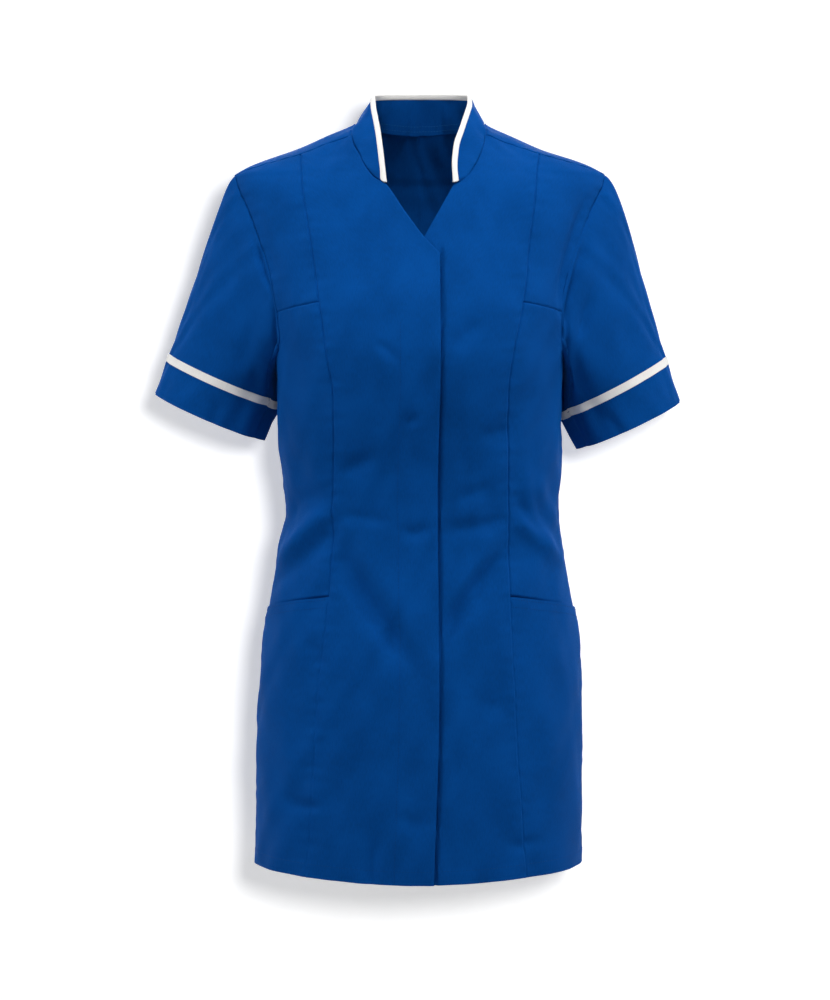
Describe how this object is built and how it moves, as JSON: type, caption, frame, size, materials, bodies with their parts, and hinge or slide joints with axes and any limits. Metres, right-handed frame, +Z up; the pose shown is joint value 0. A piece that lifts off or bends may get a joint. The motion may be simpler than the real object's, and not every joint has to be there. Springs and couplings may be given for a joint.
{
  "type": "mandarin collar healthcare tunic",
  "caption": "Hip-length healthcare tunic with open mandarin collar, V neck, hidden front fastening, princess seams, inset hip pockets and short cuffed sleeves edged with contrast binding",
  "frame": {"origin": "Centre of the neck opening, level with the neck ends of the shoulders, where the wearer holds the garment up.", "axes": "+Z up the garment from hem to collar. -Y to the front, +Y to the back. +X to the wearer's left."},
  "size_m": [0.5685, 0.2667, 0.8411],
  "materials": {
    "blue_cloth": "mid-weight plain-weave polyester cotton, royal blue, faint sheen",
    "white_trim": "off-white woven binding and cuff trim",
    "stud_metal": "plain satin press-stud cap"
  },
  "bodies": {
    "root": {"back": "blue_cloth", "front_left": "blue_cloth", "front_right": "blue_cloth", "side_front_upper_left": "blue_cloth", "side_front_upper_right": "blue_cloth", "side_front_lower_left": "blue_cloth", "side_front_lower_right": "blue_cloth", "pocket_left": "blue_cloth", "pocket_right": "blue_cloth", "sleeve_left": "blue_cloth", "sleeve_right": "blue_cloth", "cuff_left": "blue_cloth", "cuff_right": "blue_cloth", "cuff_trim_left": "white_trim", "cuff_trim_right": "white_trim", "collar": "blue_cloth", "collar_trim": "white_trim", "press_stud_1": "stud_metal", "press_stud_2": "stud_metal", "press_stud_3": "stud_metal", "press_stud_4": "stud_metal", "press_stud_5": "stud_metal", "press_stud_6": "stud_metal"}
  },
  "joints": []
}
